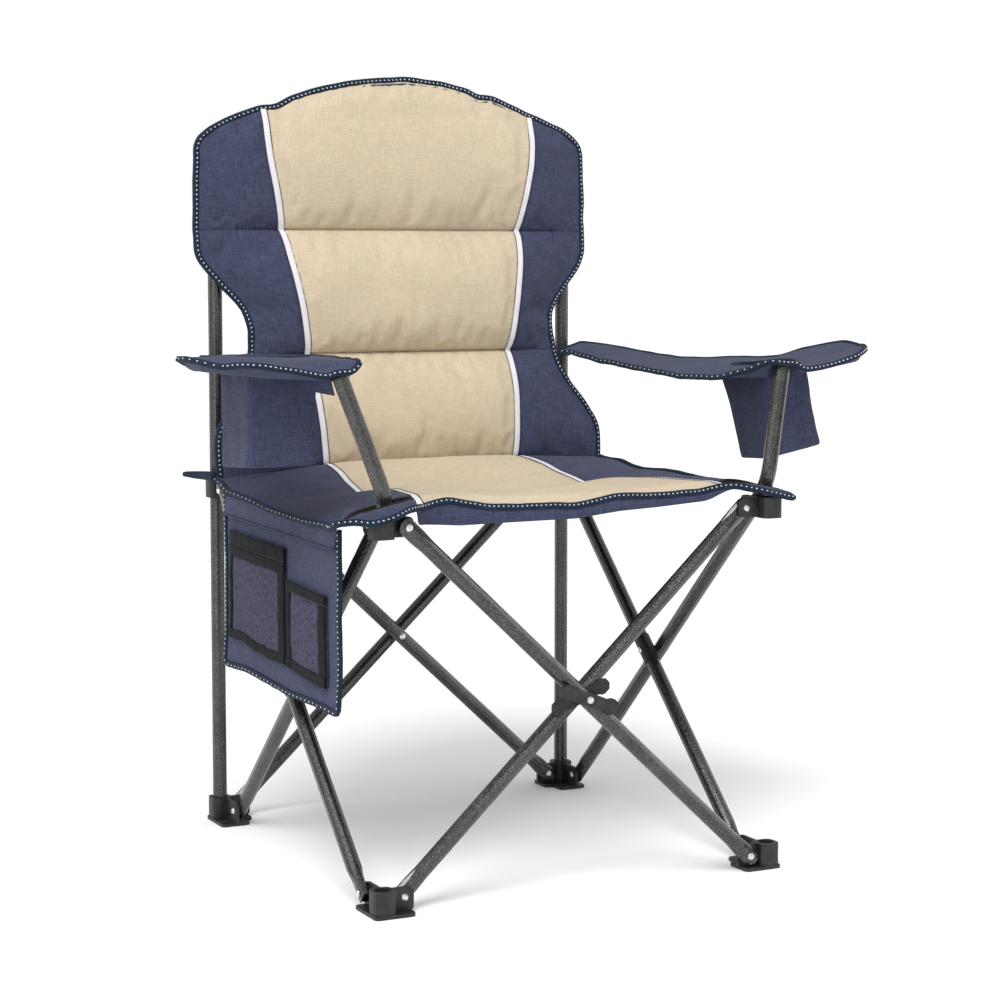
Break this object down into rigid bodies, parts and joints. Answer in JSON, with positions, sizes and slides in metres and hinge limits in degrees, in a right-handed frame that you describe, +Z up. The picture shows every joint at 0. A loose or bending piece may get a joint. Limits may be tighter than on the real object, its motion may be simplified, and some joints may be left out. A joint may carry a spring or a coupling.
{
  "type": "folding camp chair",
  "caption": "Scissor-framed camp chair with padded fabric seat and back, fabric arms with cup pouches and a hanging side organizer; folds inward into a narrow bundle.",
  "frame": {"origin": "on the floor, under the middle of the frame", "axes": "+Z up, -Y out of the chair's front, +X towards the right as seen from the front"},
  "size_m": [0.994, 0.6198, 1.051],
  "materials": {
    "frame_steel": "dark grey hammertone paint",
    "black_plastic": "fine moulded texture",
    "rivet_metal": "bright zinc plating",
    "tan_fabric": "plain woven polyester",
    "navy_fabric": "plain woven polyester with slubs",
    "pocket_mesh": "fine open net"
  },
  "bodies": {
    "rear_left": {"rear_left_foot": "black_plastic", "rear_left_foot_rivet_x": "rivet_metal", "rear_left_foot_rivet_y": "rivet_metal", "rear_left_post": "frame_steel", "rear_left_post_cap": "black_plastic", "back_pad": "tan_fabric"},
    "back_tube_outer": {"back_cross_tube_outer": "frame_steel", "back_hub_rivet": "rivet_metal"},
    "back_tube_inner": {"back_cross_tube_inner": "frame_steel"},
    "rear_right": {"rear_right_foot": "black_plastic", "rear_right_foot_rivet_x": "rivet_metal", "rear_right_foot_rivet_y": "rivet_metal", "rear_right_post": "frame_steel", "rear_right_post_cap": "black_plastic"},
    "slider_left": {"rear_left_slider": "black_plastic", "rear_left_slider_rivet_x": "rivet_metal", "rear_left_slider_rivet_y": "rivet_metal", "organizer_panel": "navy_fabric", "organizer_pocket_large": "pocket_mesh", "organizer_pocket_small": "pocket_mesh"},
    "slider_right": {"rear_right_slider": "black_plastic", "rear_right_slider_rivet_x": "rivet_metal", "rear_right_slider_rivet_y": "rivet_metal"},
    "left_arm": {"left_arm_tube": "frame_steel", "left_arm_cap": "black_plastic", "left_hub_rivet": "rivet_metal", "left_armrest": "navy_fabric", "left_pouch": "navy_fabric"},
    "left_brace": {"left_brace_tube": "frame_steel", "left_hub_sleeve": "black_plastic"},
    "front_left": {"front_left_foot": "black_plastic", "front_left_foot_rivet_x": "rivet_metal", "front_left_foot_rivet_y": "rivet_metal"},
    "bracket_left": {"front_left_bracket": "black_plastic", "front_left_bracket_rivet_x": "rivet_metal", "front_left_bracket_rivet_y": "rivet_metal"},
    "right_arm": {"right_arm_tube": "frame_steel", "right_arm_cap": "black_plastic", "right_hub_rivet": "rivet_metal", "right_armrest": "navy_fabric", "right_pouch": "navy_fabric"},
    "right_brace": {"right_brace_tube": "frame_steel", "right_hub_sleeve": "black_plastic"},
    "front_right": {"front_right_foot": "black_plastic", "front_right_foot_rivet_x": "rivet_metal", "front_right_foot_rivet_y": "rivet_metal"},
    "bracket_right": {"front_right_bracket": "black_plastic", "front_right_bracket_rivet_x": "rivet_metal", "front_right_bracket_rivet_y": "rivet_metal"},
    "front_tube_inner": {"front_cross_tube_inner": "frame_steel", "front_hub_clip_inner": "black_plastic"},
    "front_tube_outer": {"front_cross_tube_outer": "frame_steel", "front_hub_clip_outer": "black_plastic", "front_hub_rivet": "rivet_metal"},
    "seat_rear": {"seat_rear_pad": "tan_fabric"},
    "seat_front": {"seat_front_pad": "tan_fabric"}
  },
  "joints": [
    {"name": "fold", "type": "hinge", "parent": "rear_left", "child": "back_tube_outer", "pos_m": [-0.244, 0.295, 0.02], "axis": [0, -1, 0], "range_deg": [0, 36], "deforming": ["back_pad"]},
    {"name": "back_scissor", "type": "hinge", "parent": "back_tube_outer", "child": "back_tube_inner", "pos_m": [0, 0.284, 0.248], "axis": [0, 1, 0], "range_deg": [0, 72]},
    {"name": "rear_right_level", "type": "hinge", "parent": "back_tube_inner", "child": "rear_right", "pos_m": [0.244, 0.273, 0.02], "axis": [0, -1, 0], "range_deg": [0, 36]},
    {"name": "slider_left_level", "type": "hinge", "parent": "back_tube_inner", "child": "slider_left", "pos_m": [-0.244, 0.273, 0.476], "axis": [0, -1, 0], "range_deg": [0, 36], "deforming": ["organizer_panel", "organizer_pocket_large", "organizer_pocket_small"]},
    {"name": "slider_right_level", "type": "hinge", "parent": "back_tube_outer", "child": "slider_right", "pos_m": [0.244, 0.295, 0.476], "axis": [0, 1, 0], "range_deg": [0, 36]},
    {"name": "left_arm_swing", "type": "hinge", "parent": "rear_left", "child": "left_arm", "pos_m": [-0.26, 0.244, 0.02], "axis": [-1, 0, 0], "range_deg": [0, 36], "deforming": ["left_armrest", "left_pouch"]},
    {"name": "left_scissor", "type": "hinge", "parent": "left_arm", "child": "left_brace", "pos_m": [-0.271, 0, 0.248], "axis": [1, 0, 0], "range_deg": [0, 72]},
    {"name": "front_left_level", "type": "hinge", "parent": "left_brace", "child": "front_left", "pos_m": [-0.282, -0.244, 0.02], "axis": [-1, 0, 0], "range_deg": [0, 36]},
    {"name": "bracket_left_level", "type": "hinge", "parent": "left_arm", "child": "bracket_left", "pos_m": [-0.26, -0.244, 0.476], "axis": [1, 0, 0], "range_deg": [0, 36]},
    {"name": "right_arm_swing", "type": "hinge", "parent": "rear_right", "child": "right_arm", "pos_m": [0.282, 0.244, 0.02], "axis": [-1, 0, 0], "range_deg": [0, 36], "deforming": ["right_armrest", "right_pouch"]},
    {"name": "right_scissor", "type": "hinge", "parent": "right_arm", "child": "right_brace", "pos_m": [0.271, 0, 0.248], "axis": [1, 0, 0], "range_deg": [0, 72]},
    {"name": "front_right_level", "type": "hinge", "parent": "right_brace", "child": "front_right", "pos_m": [0.26, -0.244, 0.02], "axis": [-1, 0, 0], "range_deg": [0, 36]},
    {"name": "bracket_right_level", "type": "hinge", "parent": "right_arm", "child": "bracket_right", "pos_m": [0.282, -0.244, 0.476], "axis": [1, 0, 0], "range_deg": [0, 36]},
    {"name": "front_inner_swing", "type": "hinge", "parent": "front_left", "child": "front_tube_inner", "pos_m": [-0.244, -0.273, 0.02], "axis": [0, -1, 0], "range_deg": [0, 36]},
    {"name": "front_scissor", "type": "hinge", "parent": "front_tube_inner", "child": "front_tube_outer", "pos_m": [0, -0.284, 0.248], "axis": [0, 1, 0], "range_deg": [0, 72]},
    {"name": "seat_rear_drop", "type": "hinge", "parent": "slider_left", "child": "seat_rear", "pos_m": [0, 0.235, 0.4985], "axis": [1, 0, 0], "range_deg": [0, 74], "deforming": ["seat_rear_pad"]},
    {"name": "seat_front_drop", "type": "hinge", "parent": "seat_rear", "child": "seat_front", "pos_m": [0, 0, 0.4985], "axis": [-1, 0, 0], "range_deg": [0, 148], "deforming": ["seat_front_pad"]}
  ],
  "couplings": [
    {"joint": "back_scissor", "follows": "fold", "ratio": 2},
    {"joint": "rear_right_level", "follows": "fold", "ratio": 1},
    {"joint": "slider_left_level", "follows": "fold", "ratio": 1},
    {"joint": "slider_right_level", "follows": "fold", "ratio": 1},
    {"joint": "left_arm_swing", "follows": "fold", "ratio": 1},
    {"joint": "left_scissor", "follows": "fold", "ratio": 2},
    {"joint": "front_left_level", "follows": "fold", "ratio": 1},
    {"joint": "bracket_left_level", "follows": "fold", "ratio": 1},
    {"joint": "right_arm_swing", "follows": "fold", "ratio": 1},
    {"joint": "right_scissor", "follows": "fold", "ratio": 2},
    {"joint": "front_right_level", "follows": "fold", "ratio": 1},
    {"joint": "bracket_right_level", "follows": "fold", "ratio": 1},
    {"joint": "front_inner_swing", "follows": "fold", "ratio": 1},
    {"joint": "front_scissor", "follows": "fold", "ratio": 2},
    {"joint": "seat_rear_drop", "follows": "fold", "ratio": 2.05},
    {"joint": "seat_front_drop", "follows": "fold", "ratio": 4.1}
  ]
}
